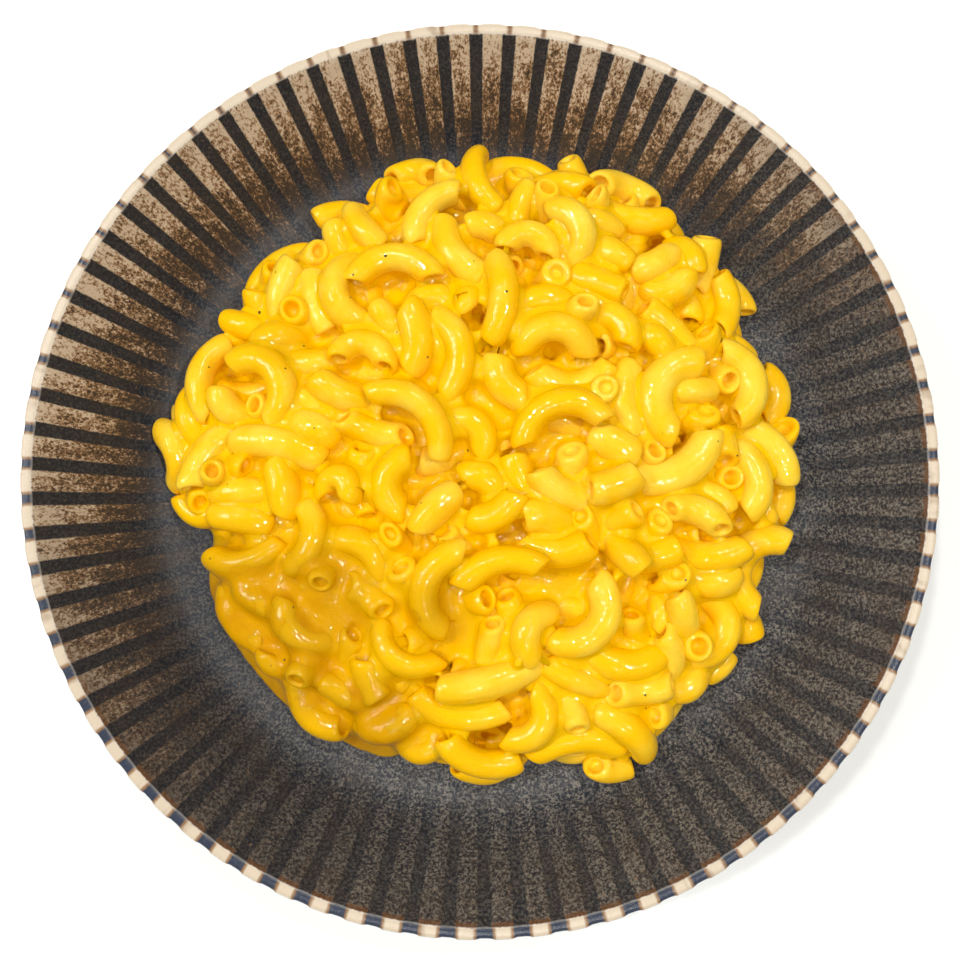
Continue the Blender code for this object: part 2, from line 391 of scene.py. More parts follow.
def glaze_material(bowl):
    """Reduction-fired iron glaze over cream slip. It lies thick and charcoal in the grooves, and breaks to
    tan and cream specks on the ridges of one side of the bowl. Its grain gives a satin sheen."""
    material, tree, shader = new_material("iron_glazed_stoneware")
    calc = functools.partial(calculated, tree)
    mix = functools.partial(mixed, tree)
    grain = functools.partial(grained, tree)
    between = functools.partial(graded, tree, kind="SMOOTHSTEP")
    place = object_place(tree)
    x, y, z = add_node(tree, "ShaderNodeSeparateXYZ", {}, {0: place}).outputs
    flat = add_node(tree, "ShaderNodeCombineXYZ", {}, {0: x, 1: y}).outputs[0]
    radius = add_node(tree, "ShaderNodeVectorMath", {"operation": "LENGTH"}, {0: flat}).outputs["Value"]
    outward = add_node(tree, "ShaderNodeVectorMath", {"operation": "NORMALIZE"}, {0: flat}).outputs[0]
    along = calc("ADD", radius, z)

    def product(*values):
        return functools.reduce(functools.partial(calc, "MULTIPLY"), values)

    def without(value):
        return calc("SUBTRACT", 1.0, value)

    def nudged(value, noise_value, amount, middle=0.5):
        return calc("MULTIPLY_ADD", calc("SUBTRACT", noise_value, middle), amount, value)

    def facing(degrees):
        """One on the side of the bowl that looks this way, minus one on the far side."""
        way = (math.cos(math.radians(degrees)), math.sin(math.radians(degrees)), 0.0)
        ends = {0: outward, 1: way}
        return add_node(tree, "ShaderNodeVectorMath", {"operation": "DOT_PRODUCT"}, ends).outputs["Value"]

    # Noise read round the bowl and along its wall, drawn out along the wall as the glaze ran
    middle_of_wall = {0: outward, "Scale": 0.105}
    around = add_node(tree, "ShaderNodeVectorMath", {"operation": "SCALE"}, middle_of_wall).outputs[0]

    def streaked(drawn_out):
        rise = add_node(tree, "ShaderNodeCombineXYZ", {}, {2: calc("DIVIDE", along, drawn_out)}).outputs[0]
        return add_node(tree, "ShaderNodeVectorMath", {"operation": "ADD"}, {0: around, 1: rise}).outputs[0]

    run = streaked(2.6)
    fine = grain(run, 0.5, 3.0, 0.75)
    specks = grain(streaked(1.7), 1.0, 4.0, 0.72)
    patches = grain(run, 5.0, 2.0, 0.6)
    clouds = grain(place, 14.0, 3.0, 0.6)
    dust = grain(place, 0.8, 3.0, 0.8)

    pitch = 2 * math.pi / bowl.rib_count
    phase = calc("DIVIDE", calc("SUBTRACT", calc("ARCTAN2", y, x), bowl.first_ridge), pitch)
    share = calc("FRACT", calc("ADD", phase, bowl.rib_count + 20.5))
    off_centre = product(calc("ABSOLUTE", calc("SUBTRACT", share, 0.5)), 2.0)
    ragged = nudged(off_centre, specks, 0.22)
    ridge = without(between(ragged, bowl.ridge_share - 0.04, bowl.ridge_share + 0.05))

    # Ridges turn tan on one side of the bowl and stay dark on the far side, the border wandering with the
    # cloud noise
    towards_tan_side = facing(TAN_RIDGE_DEGREES)
    tan_side = between(nudged(towards_tan_side, clouds, 0.5), -0.50, 0.74)
    wall = between(radius, bowl.floor_radius - FLOOR_EDGE, bowl.bend_radius + 0.008)
    broken = product(ridge, calc("MULTIPLY_ADD", tan_side, 0.9, 0.1), wall)

    # Iron glaze: charcoal ground, ash and slate grain, rare tan specks. The grain is greyest at the front
    # right and fades round the bowl to the back left, a painted shade
    ash_thinned_by_painted_shade = calc("MULTIPLY_ADD", between(facing(LEAST_SHADE_DEGREES), -0.5, 0.8), 0.6, 0.4)
    ground = mix(product(between(dust, 0.44, 0.62), ash_thinned_by_painted_shade), opaque(bowl.charcoal), opaque(bowl.ash))
    ground = mix(product(without(ridge), wall, 0.6), ground, opaque(bowl.charcoal))
    ground = mix(product(between(fine, 0.50, 0.62), ash_thinned_by_painted_shade, 0.5), ground, opaque(bowl.slate))
    ground = mix(product(between(clouds, 0.42, 0.70), 0.3), ground, opaque(bowl.umber))
    sparse = product(between(specks, 0.61, 0.69), between(dust, 0.45, 0.6), 0.75)
    ground = mix(sparse, ground, opaque(bowl.tan))

    # Ridges: umber, tan and cream specks, the cream thickest towards the rim
    upward = graded(tree, radius, bowl.bend_radius - 0.004, 0.117)
    level = nudged(specks, patches, 0.6)
    level = nudged(level, fine, 1.1)
    level = nudged(level, upward, 0.42, 0.58)
    level = calc("MULTIPLY_ADD", off_centre, 0.10, level)
    level = calc("MULTIPLY_ADD", tan_side, 0.16, calc("SUBTRACT", level, 0.125))
    ridge_colour = mix(between(level, 0.42, 0.56), opaque(bowl.umber), opaque(bowl.tan))
    ridge_colour = mix(product(between(level, 0.56, 0.74), 0.85), ridge_colour, opaque(bowl.cream))
    colour = mix(broken, ground, ridge_colour)

    # Rim: cream slip on the ridges, cobalt between them, a burnt edge where the glaze stops. The cream is
    # widest at the back and narrowest at the front
    rim_edge = round(BOWL_HIGH.x, 4) - bowl.lip_width + 0.0004
    on_top = between(z, *LIP_HEIGHTS)
    wavering = nudged(radius, specks, 0.0011)
    on_rim = product(between(wavering, rim_edge, rim_edge + 0.0003), on_top)
    under_lip = between(z, 0.0385, LIP_HEIGHTS[0])
    burnt = product(between(wavering, rim_edge - 0.0011, rim_edge - 0.0003), under_lip)
    burnt = product(burnt, ridge, without(between(towards_tan_side, -0.2, 0.5)), 0.75)
    colour = mix(burnt, colour, opaque(bowl.rust))
    frayed = nudged(off_centre, specks, 0.16)
    frayed = calc("MULTIPLY_ADD", calc("DIVIDE", y, radius), -0.22, calc("SUBTRACT", frayed, 0.15))
    stroke = without(between(frayed, bowl.ridge_share - 0.20, bowl.ridge_share - 0.02))
    halo = without(between(frayed, bowl.ridge_share - 0.02, bowl.ridge_share + 0.10))
    stained = mix(product(between(patches, 0.58, 0.75), 0.5), opaque(bowl.cream), opaque(bowl.tan))
    stained = mix(0.14, stained, opaque(bowl.ash))
    cobalt = mix(between(dust, 0.4, 0.7), opaque(bowl.navy), opaque(bowl.slate))
    colour = mix(on_rim, colour, mix(stroke, mix(halo, cobalt, opaque(bowl.tan)), stained))
    # Painted highlight: a fine pale line along the rim's inner edge, standing for light caught on the lip
    bright = between(radius, rim_edge, rim_edge + 0.0001)
    line = calc("SUBTRACT", bright, between(radius, rim_edge + 0.0003, rim_edge + 0.0005))
    colour = mix(product(line, on_top, specks, 0.55), colour, opaque(bowl.painted_lip_highlight))

    # The foot ring stands bare
    bare = without(between(z, 0.0028, 0.0034))
    clay = mix(between(dust, 0.35, 0.7), opaque(bowl.clay), opaque(bowl.tan))
    tree.links.new(mix(bare, colour, clay), shader.inputs["Base Color"])

    satin = calc("MULTIPLY_ADD", fine, 0.28, 0.33)
    glossy = calc("MULTIPLY_ADD", on_rim, -0.22, satin)
    dull = calc("MULTIPLY_ADD", bare, 0.45, glossy, clamp=True)
    tree.links.new(dull, shader.inputs["Roughness"])
    set_shader(shader, {"IOR": 1.5, "Specular IOR Level": 0.32})
    pitted = calc("ADD", product(fine, 0.6), product(specks, 0.4))
    tree.links.new(bumped(tree, pitted, 0.55, 0.00022), shader.inputs["Normal"])
    return material


class MACCHEESE_OT_bowl(bpy.types.Operator):
    """Turn the bowl, carve its flutes and glaze it"""

    bl_idname = "maccheese.bowl"
    bl_label = "Bowl"

    def execute(self, context):
        bowl = context.scene.bowl_settings
        finish_piece("fluted_bowl", bowl_mesh(bowl), glaze_material(bowl), "stoneware_glaze", "bowl")
        return {"FINISHED"}


# Macaroni: where each one lies ----------------------------------------------------------------

# The top layer, placed one by one. Each macaroni is (start, crown, end) of its centreline as
# (right mm, back mm, rise mm), on a plane 30 mm over the table as the lens sees it; the rise is over
# the heap's own surface.
SIGHT_PLANE = 0.030
BACK_LEFT = (
    ((-25, 81, -1), (-18, 85, 0), (-13, 81, 0)),
    ((-25, 79, 4), (-26, 75, -2), (-21, 70, -5)),
    ((-10, 84, 0), (-9, 80, 1), (-4, 76, -2)),
    ((-6, 77, 0), (-16, 73, 2), (-18, 62, 0)),
    ((1, 91, 0), (-2, 82, 3), (5, 72, 1)),
    ((-37, 73, 0), (-33, 67, 2), (-28, 61, 0)),
    ((-41, 69, 0), (-40, 63, -1), (-36, 56, -3)),
    ((-46, 61, 4), (-49, 58, 0), (-53, 52, -4)),
    ((-59, 56, 4), (-58, 52, -1), (-53, 46, -4)),
    ((-64, 50, 3), (-63, 45, 0), (-58, 41, -3)),
    ((-71, 40, 0), (-65, 39, 1), (-57, 36, -1)),
    ((-52, 57, 0), (-56, 49, 1), (-54, 38, 0)),
    ((-47, 55, 1), (-46, 47, 1), (-43, 37, -1)),
    ((-34, 57, 0), (-42, 49, 1), (-31, 40, 0)),
    ((-35, 51, 1), (-24, 59, 4), (-13, 51, 2)),
    ((-18, 43, -2), (-12, 48, 0), (-8, 43, -1)),
    ((-30, 43, 0), (-26, 41, 1), (-22, 36, 0)),
    ((-21, 44, 3), (-17, 35, 1), (-20, 26, 0)),
    ((-13, 41, 1), (-5, 31, 2), (-11, 19, 0)),
    ((-39, 28, 0), (-32, 34, 2), (-26, 26, 0)),
    ((-45, 24, 1), (-38, 18, 1), (-29, 18, 1)),
    ((-30, 19, 2), (-16, 17, 4), (-11, 1, 1)),
    ((-9, 11, 1), (-2, 13, 2), (-1, 2, 0)),
    ((-37, 14, 0), (-30, 8, 0), (-20, 8, 0)),
    ((-70, 34, 0), (-79, 25, 2), (-75, 13, 0)),
    ((-69, 28, 2), (-54, 24, 3), (-59, 12, 1)),
    ((-72, 20, 0), (-70, 14, 1), (-64, 13, 0)),
    ((-79, 21, 0), (-82, 13, 1), (-75, 6, 0)),
    ((-90, 9, 0), (-84, 9, 1), (-86, -6, 0)),
    ((-68, 4, 1), (-56, 6, 2), (-43, 1, 1)),
    ((-64, 1, 4), (-66, -3, -2), (-60, -6, -5)),
    ((-68, 10, 1), (-75, 4, 1), (-77, -8, 0)),
    ((-52, 10, -1), (-46, 11, 0), (-41, 6, -1)),
    ((-50, 18, -1), (-45, 16, 0), (-40, 13, -1)),
    ((-61, 32, 0), (-56, 36, 1), (-50, 31, 0)),
    ((-52, 30, 0), (-46, 28, 1), (-40, 30, 0)),
    ((-9, 70, 1), (-8, 60, 2), (1, 52, 1)),
    ((-5, 43, 0), (-3, 48, 0), (0, 42, -2)),
    ((-3, 67, 1), (2, 68, 1), (7, 64, 0)),
)
BACK_RIGHT = (
    ((12, 84, 4), (12, 80, -1), (17, 75, -5)),
    ((26, 89, 0), (28, 83, 1), (31, 76, -1)),
    ((33, 78, 1), (42, 83, 2), (50, 75, 0)),
    ((35, 76, 0), (43, 70, 1), (54, 72, 1)),
    ((15, 79, 0), (11, 73, 1), (10, 65, 0)),
    ((7, 60, 0), (13, 66, 3), (19, 58, 1)),
    ((17, 78, 0), (24, 80, 0), (31, 77, 0)),
    ((33, 78, 1), (33, 73, 1), (27, 74, 1)),
    ((19, 71, 1), (29, 67, 2), (26, 57, 1)),
    ((22, 68, 3), (23, 64, 0), (19, 60, -2)),
    ((30, 70, 0), (34, 68, 1), (37, 64, 0)),
    ((33, 66, 0), (37, 60, 1), (43, 57, 1)),
    ((43, 55, 1), (49, 56, 2), (54, 61, 1)),
    ((53, 62, 0), (59, 61, 2), (61, 54, 0)),
    ((66, 67, 7), (64, 59, 2), (60, 49, -2)),
    ((67, 54, 1), (71, 46, 2), (66, 36, 0)),
    ((58, 54, 1), (53, 48, 1), (46, 50, 0)),
    ((22, 55, 5), (21, 51, 0), (16, 48, -4)),
    ((26, 55, 1), (33, 52, 3), (41, 48, 4)),
    ((9, 42, 0), (17, 47, 1), (26, 43, 0)),
    ((2, 58, 1), (7, 47, 3), (2, 34, 1)),
    ((12, 31, 1), (21, 39, 3), (29, 30, 1)),
    ((30, 40, 1), (37, 42, 2), (41, 32, 0)),
    ((15, 26, 0), (25, 21, 1), (37, 27, 0)),
    ((5, 30, 0), (7, 22, 1), (13, 18, 0)),
    ((47, 45, 3), (52, 38, 1), (60, 33, 0)),
    ((63, 37, 5), (62, 33, 0), (57, 30, -4)),
    ((44, 34, 0), (47, 37, 1), (50, 31, 0)),
    ((61, 28, 1), (48, 21, 3), (54, 8, 1)),
    ((54, 21, 0), (59, 20, 1), (64, 21, 0)),
    ((63, 15, 3), (60, 12, 0), (56, 14, -2)),
    ((41, 29, 0), (39, 19, 1), (44, 9, 0)),
    ((37, 22, 2), (32, 20, 1), (30, 13, 0)),
    ((66, 31, 0), (76, 23, 1), (70, 12, 0)),
    ((80, 26, 0), (84, 20, 0), (80, 12, 0)),
    ((85, 12, 4), (83, 7, 1), (78, 5, -1)),
    ((63, 33, 0), (70, 33, 0), (75, 28, 0)),
    ((12, 5, 1), (20, 17, 3), (34, 12, 1)),
    ((25, 4, 4), (25, 0, 0), (21, -4, -4)),
    ((31, 9, 0), (37, 5, 1), (43, 3, 0)),
    ((63, 9, 1), (54, -3, 2), (41, -2, 1)),
    ((66, 11, 0), (67, 6, 1), (68, 0, 0)),
    ((71, 10, 1), (81, 6, 2), (84, -6, 0)),
    ((70, 4, 1), (77, -3, 2), (73, -14, 0)),
)
FRONT_LEFT = (
    ((-77, 0, 0), (-78, -7, 1), (-75, -13, 0)),
    ((-83, -8, 0), (-78, -13, 0), (-72, -12, 0)),
    ((-73, -9, 0), (-66, -7, 1), (-59, -10, 0)),
    ((-55, 1, 0), (-54, -7, 2), (-52, -14, 1)),
    ((-73, -14, 0), (-65, -14, 2), (-57, -17, 0)),
    ((-74, -25, 0), (-64, -28, 2), (-55, -21, 1)),
    ((-49, -12, 1), (-44, -20, 2), (-52, -28, 1)),
    ((-41, -23, 0), (-32, -21, 1), (-27, -31, 0)),
    ((-42, -9, 0), (-38, -3, 1), (-35, -10, 0)),
    ((-25, -18, 5), (-24, -22, 0), (-19, -25, -4)),
    ((-21, -28, 5), (-21, -33, 0), (-24, -37, -4)),
    ((-19, 2, 1), (-26, -4, 2), (-20, -13, 1)),
    ((-31, 5, 0), (-33, -4, 0), (-30, -14, 0)),
    ((-6, -8, 1), (-11, -11, 2), (-15, -18, 1)),
    ((-10, -18, 3), (-8, -22, 0), (-3, -25, -3)),
    ((-5, -24, 2), (-16, -33, 3), (-9, -45, 1)),
    ((-6, -33, 2), (5, -26, 4), (17, -28, 2)),
    ((-36, -34, 0), (-31, -35, 1), (-26, -41, 0)),
    ((-52, -37, 1), (-50, -46, 2), (-40, -47, 1)),
    ((-47, -32, 0), (-43, -36, 0), (-38, -33, 0)),
    ((-34, -47, 4), (-35, -51, 0), (-36, -57, -2)),
    ((-26, -42, 2), (-22, -54, 3), (-11, -52, 2)),
    ((-30, -52, 2), (-29, -57, 2), (-28, -64, 1)),
    ((-41, -57, 0), (-37, -61, 1), (-30, -64, 0)),
    ((-68, -33, 0), (-66, -42, 0), (-58, -48, 0)),
    ((-65, -33, 0), (-62, -36, 1), (-56, -39, 0)),
    ((-57, -50, 0), (-56, -55, 1), (-51, -50, 0)),
    ((-48, -58, 0), (-47, -68, 1), (-36, -71, 0)),
    ((-32, -69, 0), (-27, -72, 1), (-19, -66, 1)),
    ((-19, -71, 0), (-18, -78, 0), (-12, -71, 0)),
    ((-11, -60, 2), (3, -59, 3), (17, -52, 2)),
    ((-18, -62, 0), (-7, -68, 1), (7, -65, 0)),
    ((-10, -72, 0), (0, -81, 1), (11, -80, 1)),
)
FRONT_RIGHT = (
    ((15, -2, 1), (25, -9, 2), (37, -3, 1)),
    ((29, -8, 1), (36, -6, 2), (43, -3, 1)),
    ((43, -12, 5), (39, -15, 2), (36, -20, -2)),
    ((11, -13, 1), (17, -14, 2), (24, -18, 0)),
    ((-3, -15, 1), (4, -14, 2), (10, -8, 1)),
    ((25, -14, 3), (29, -18, 1), (31, -24, -1)),
    ((11, -22, 0), (20, -24, 2), (30, -21, 0)),
    ((51, -14, 1), (58, -12, 2), (65, -19, 2)),
    ((51, -14, 1), (48, -18, 1), (45, -23, 0)),
    ((50, -22, 0), (60, -26, 1), (72, -23, 0)),
    ((59, -8, 0), (64, -9, 1), (68, -13, 1)),
    ((85, -23, 1), (69, -31, 2), (77, -40, 1)),
    ((71, -40, 0), (73, -44, 0), (75, -49, 0)),
    ((60, -36, 1), (68, -44, 2), (57, -52, 1)),
    ((52, -35, 1), (54, -40, 2), (55, -47, 0)),
    ((54, -28, 4), (51, -31, 1), (47, -29, -1)),
    ((41, -41, 4), (42, -45, 0), (46, -48, -3)),
    ((31, -31, 2), (34, -43, 4), (19, -47, 2)),
    ((20, -41, 1), (12, -44, 2), (15, -52, 1)),
    ((29, -50, 1), (37, -55, 2), (48, -51, 1)),
    ((49, -44, 1), (52, -51, 1), (50, -59, 0)),
    ((18, -53, 0), (25, -58, 1), (34, -59, 0)),
    ((35, -61, 0), (42, -62, 1), (51, -58, 0)),
    ((52, -61, 0), (57, -60, 1), (59, -54, 0)),
    ((67, -51, 0), (65, -55, 0), (61, -58, 0)),
    ((15, -61, 1), (18, -70, 2), (7, -74, 1)),
    ((22, -60, 1), (25, -66, 1), (27, -72, 1)),
    ((31, -67, 1), (40, -70, 2), (44, -80, 0)),
    ((14, -79, 1), (26, -74, 2), (38, -78, 1)),
    ((30, -80, 0), (36, -83, 0), (42, -83, 0)),
    ((46, -69, 4), (48, -66, 0), (46, -61, -2)),
    ((36, -63, 0), (41, -66, 1), (43, -71, 0)),
    ((79, -11, 0), (78, -17, 1), (82, -21, 0)),
    ((83, -3, 0), (84, -10, 0), (82, -15, 0)),
    ((36, -20, 0), (40, -24, 1), (44, -29, 0)),
    ((42, -26, 0), (48, -25, 1), (54, -24, 0)),
    ((57, -30, -1), (63, -33, 0), (69, -29, -1)),
    ((5, -42, 1), (4, -48, 1), (2, -55, 0)),
    ((6, -35, 0), (9, -42, 0), (10, -51, -1)),
    ((48, -34, 0), (50, -39, 0), (48, -44, 0)),
    ((8, 2, 0), (11, -4, 1), (14, -11, 0)),
    ((-4, -4, 0), (2, -4, 1), (4, -11, 0)),
)
TOP_LAYER = BACK_LEFT + BACK_RIGHT + FRONT_LEFT + FRONT_RIGHT

# Each wave of the heap's outline: lobes round it, height, direction of a crest in degrees
OUTLINE_WAVES = ((1, 0.0026, 54), (2, 0.0013, 73), (3, 0.0018, 52), (6, 0.0012, 51))
HEAP_RADIUS = 0.0900
EDGE_HEIGHT = 0.003  # the heap's skin at its outline, over its base


def heap_reach(angle):
    """The heap's radius in this direction, or in each of an array of directions."""
    return HEAP_RADIUS + sum(
        height * np.cos(lobes * (angle - math.radians(crest))) for lobes, height, crest in OUTLINE_WAVES
    )


def crown_height(x, y):
    """Height of the heap's skin over a point of its plan."""
    share = np.minimum(1.0, np.hypot(x, y) / heap_reach(np.arctan2(y, x)))
    return HEAP_BASE + EDGE_HEIGHT + (HEAP_TOP - HEAP_BASE - EDGE_HEIGHT) * (1.0 - share**2.8) ** 0.55


def lens_place(stage):
    """The camera's place: over the rim's middle, leaning to the front."""
    middle = Vector((0.0, 0.0, BOWL_HIGH.z))
    away = stage.rim_radii_away * round(BOWL_HIGH.x, 4)
    return middle + Vector((0.0, -math.sin(stage.tilt), math.cos(stage.tilt))) * away


THICK_SAUCE = (0.18, 0.70)  # amounts at which sauce starts to hide the pasta, and hides it
TUBE_RADIUS = 0.0041  # what the placing reckons with; each macaroni has its own width besides
BURIED_LENGTH = 0.026
SAMPLES = 7
CONTACT = 0.0075
WALL_LEAN = 0.0165  # how much wider the bowl is at the rim than at the wall's foot
RELAX_STEPS = 150
RELAX_REFRESH = 10
LOWEST_CENTRE = 0.0037
LONGEST_TUBE = 0.034
LEAST_BEND = 0.0007
FLOOR_RING = 30  # how many of the buried ones lie on the floor along the outline
RING_INSET = 0.0095
RING_INSET_UNDER_SAUCE = 0.0085
BURIED_INSET = 0.014
BURIED_DEPTH = 0.0074
EDGE_DRAWN_IN = 0.03  # so that the outermost tubes' sides, not their middles, reach the outline


def placed_centrelines(stage):
    """The listed macaroni as (count, 3, 3) points in space."""
    lens = np.array(lens_place(stage))
    spots = np.array(TOP_LAYER, float) * MM
    drawn_in = 1.0 - EDGE_DRAWN_IN * (np.hypot(spots[..., 0], spots[..., 1]) / HEAP_RADIUS) ** 4
    x, y, rise = spots[..., 0] * drawn_in, spots[..., 1] * drawn_in, spots[..., 2]
    seen_x, seen_y = x, y
    for _ in range(4):
        skin = np.maximum(crown_height(seen_x, seen_y) - TUBE_RADIUS, FLOOR_TOP + TUBE_RADIUS)
        level = skin.mean(axis=1, keepdims=True)
        z = level + (skin - level) * 0.6 + rise
        shift = (lens[2] - z) / (lens[2] - SIGHT_PLANE)
        seen_x = lens[0] + (x - lens[0]) * shift
        seen_y = lens[1] + (y - lens[1]) * shift
    return np.stack([seen_x, seen_y, z], axis=-1)


def buried_centrelines(pasta):
    """Macaroni under the top layer, spread by the golden angle and turned at random."""
    chance = np.random.default_rng(pasta.seed)
    lines = []
    for index in range(pasta.buried_count):
        share = math.sqrt((index + 0.5) / (pasta.buried_count - FLOOR_RING))
        angle = index * math.pi * (3 - math.sqrt(5))
        on_floor = index >= pasta.buried_count - FLOOR_RING
        edge = heap_reach(angle) - RING_INSET
        edge -= RING_INSET_UNDER_SAUCE * float(sauce_amount(edge * math.cos(angle), edge * math.sin(angle)))
        reach = edge if on_floor else (heap_reach(angle) - BURIED_INSET) * share
        x, y = reach * math.cos(angle), reach * math.sin(angle)
        lowest = FLOOR_TOP + 0.004
        z = FLOOR_TOP + 0.0042 if on_floor else max(lowest, float(crown_height(x, y)) - BURIED_DEPTH)
        bend = chance.uniform(math.radians(70), math.radians(165))
        radius = BURIED_LENGTH / bend
        heading = angle + chance.uniform(-0.4, 0.4) if on_floor else chance.uniform(0, 2 * math.pi)
        turn = Matrix.Rotation(heading, 3, "Z")
        tilt = 0.15 if on_floor else 0.5
        turn = turn @ Matrix.Rotation(chance.uniform(-tilt, tilt), 3, "X")
        turn = turn @ Matrix.Rotation(chance.uniform(-tilt, tilt), 3, "Y")
        arc = [Vector((math.cos(a) - 0.8, math.sin(a), 0.0)) * radius for a in (-bend / 2, 0.0, bend / 2)]
        lines.append([Vector((x, y, z)) + turn @ point for point in arc])
    return np.array([[tuple(point) for point in line] for line in lines]).reshape(-1, 3, 3)


def arc_frame(start, crown, end):
    """The circle through three points: middle, axes in its plane (the first towards the crown), radius
    and half angle. A straight line is given a slight bend."""
    chord = end - start
    lift = crown - (start + end) / 2
    lift -= chord * lift.dot(chord) / chord.dot(chord)
    sagitta = lift.length
    if sagitta < LEAST_BEND:
        side = chord.cross(Vector((0, 0, 1)))
        lift = side.normalized() * LEAST_BEND if side.length > 1e-6 else Vector((LEAST_BEND, 0, 0))
        sagitta = LEAST_BEND
    half_chord = chord.length / 2
    radius = (half_chord**2 + sagitta**2) / (2 * sagitta)
    towards = lift.normalized()
    middle = (start + end) / 2 + towards * (sagitta - radius)
    half_angle = min(LONGEST_TUBE / 2 / radius, math.acos(max(-1.0, min(1.0, (radius - sagitta) / radius))))
    return middle, towards, chord.normalized(), radius, half_angle


def arc_points(arc, count):
    middle, towards, along, radius, half = arc
    inset = min(0.4 * half, 0.0026 / radius)
    angles = np.linspace(-half + inset, half - inset, count)
    return [middle + (towards * math.cos(a) + along * math.sin(a)) * radius for a in angles]


def rigid_fit(shapes, points):
    """Turns and moves each rest shape to lie best on its points."""
    centre = points.mean(axis=1, keepdims=True)
    spread = np.einsum("nki,nkj->nij", shapes, points - centre)
    u, _, vt = np.linalg.svd(spread)
    flip = np.sign(np.linalg.det(u @ vt))
    u[:, :, 2] *= flip[:, None]
    turn = u @ vt
    return np.einsum("nki,nij->nkj", shapes, turn) + centre, turn, centre[:, 0]


def wall_limit(z, bowl):
    """The largest radius a tube's middle may have at this height."""
    foot = bowl.bend_radius - 0.0044
    wall_base = FLOOR_TOP + 0.0055
    share = (z - wall_base) / (BOWL_HIGH.z - wall_base)
    return foot + share * WALL_LEAN


def relax(points, held, bowl):
    """Presses the macaroni apart until none lies in another, keeping each one's shape. The held ones stay
    near their places in plan."""
    count = len(points)
    shapes = points - points.mean(axis=1, keepdims=True)
    target = points.copy()
    owner = np.repeat(np.arange(count), SAMPLES)
    pull = np.where(held, 0.16, 0.02)[:, None, None] * np.array([1.0, 1.0, 0.3])
    weight = np.where(held, 0.4, 1.0)[owner]
    for step in range(RELAX_STEPS):
        flat = points.reshape(-1, 3)
        if step % RELAX_REFRESH == 0:
            gap = np.linalg.norm(flat[:, None] - flat[None], axis=2)
            first, second = np.nonzero(gap < 1.6 * CONTACT)
            keep = (first < second) & (owner[first] != owner[second])
            first, second = first[keep], second[keep]
        away = flat[first] - flat[second]
        distance = np.maximum(np.linalg.norm(away, axis=1), 1e-6)
        overlap = np.maximum(0.0, CONTACT - distance)
        push = away / distance[:, None] * overlap[:, None]
        share = (weight[first] / (weight[first] + weight[second]))[:, None]
        move = np.zeros_like(flat)
        np.add.at(move, first, push * share)
        np.add.at(move, second, -push * (1.0 - share))
        hits = np.zeros(len(flat))
        np.add.at(hits, first, overlap > 0)
        np.add.at(hits, second, overlap > 0)
        flat = flat + move / np.maximum(1.0, hits)[:, None]
        points = flat.reshape(count, SAMPLES, 3)
        points = points + (target - points) * pull
        points[..., 2] = np.maximum(points[..., 2], FLOOR_TOP + LOWEST_CENTRE)
        reach = np.hypot(points[..., 0], points[..., 1])
        inward = np.minimum(1.0, wall_limit(points[..., 2], bowl) / np.maximum(reach, 1e-6))
        points[..., :2] *= inward[..., None]
        points, _, _ = rigid_fit(shapes, points)
    return points


@functools.cache
def settled_arcs():
    """Every macaroni's arc after the heap has settled: the listed ones first, then the buried."""
    scene = bpy.context.scene
    placed = placed_centrelines(scene.stage_settings)
    buried = buried_centrelines(scene.pasta_settings)
    arcs = [arc_frame(*(Vector(point) for point in line)) for line in np.concatenate([placed, buried])]
    points = np.array([[tuple(point) for point in arc_points(arc, SAMPLES)] for arc in arcs])
    held = np.arange(len(arcs)) < len(placed)
    settled = relax(points, held, scene.bowl_settings)
    start = points - points.mean(axis=1, keepdims=True)
    _, turns, centres = rigid_fit(start, settled)
    moved = []
    for arc, line, turn, centre in zip(arcs, points, turns, centres):
        rotate = Matrix(turn.T.tolist())
        middle, towards, along, radius, half = arc
        offset = Vector(line.mean(axis=0))
        place = rotate @ (middle - offset) + Vector(centre)
        moved.append((place, rotate @ towards, rotate @ along, radius, half))
    return moved, len(placed)


# Macaroni: their shape ------------------------------------------------------------------------

CAGE_SIDES = 8
LUMPS_PER_METRE = 130
LUMP_HEIGHT = 0.00065
LUMP_SEED = 1  # not 0, which would take the time of day and change the lumps each run
CAGE_SWELL = 1.108  # a subdivided ring of eight shrinks to the wanted radius


def draw_rings(bm, loop, rings):
    """Draws the loop's edges out through rings of (height, radius), and closes the last one."""
    for height, radius in rings:
        made = bmesh.ops.extrude_edge_only(bm, edges=loop)["geom"]
        ring = [item for item in made if isinstance(item, bmesh.types.BMVert)]
        loop = [item for item in made if isinstance(item, bmesh.types.BMEdge)]
        for vert in ring:
            side = Vector((vert.co.x, vert.co.y, 0.0)).normalized() * radius
            vert.co = Vector((side.x, side.y, height))
    bmesh.ops.contextual_create(bm, geom=loop)
    bmesh.ops.recalc_face_normals(bm, faces=bm.faces)


def hollow_cage(bore_share):
    """A straight macaroni along Z from 0 to 1, of radius 1, with a bore that is closed deep inside."""
    bm = bmesh.new()
    ring = bmesh.ops.create_circle(bm, segments=CAGE_SIDES, radius=bore_share)["verts"]
    bmesh.ops.translate(bm, verts=ring, vec=(0, 0, 0.17))
    loop = list(dict.fromkeys(edge for vert in ring for edge in vert.link_edges))
    bmesh.ops.contextual_create(bm, geom=loop)
    rings = (
        (0.04, bore_share),
        (0.0, bore_share + 0.15),
        (0.015, 0.84),
        (0.09, 0.97),
        (0.24, 1.0),
        (0.41, 1.02),
        (0.59, 1.02),
        (0.76, 1.0),
        (0.91, 0.97),
        (0.985, 0.84),
        (1.0, bore_share + 0.15),
        (0.96, bore_share),
        (0.83, bore_share),
    )
    draw_rings(bm, loop, rings)
    return bm


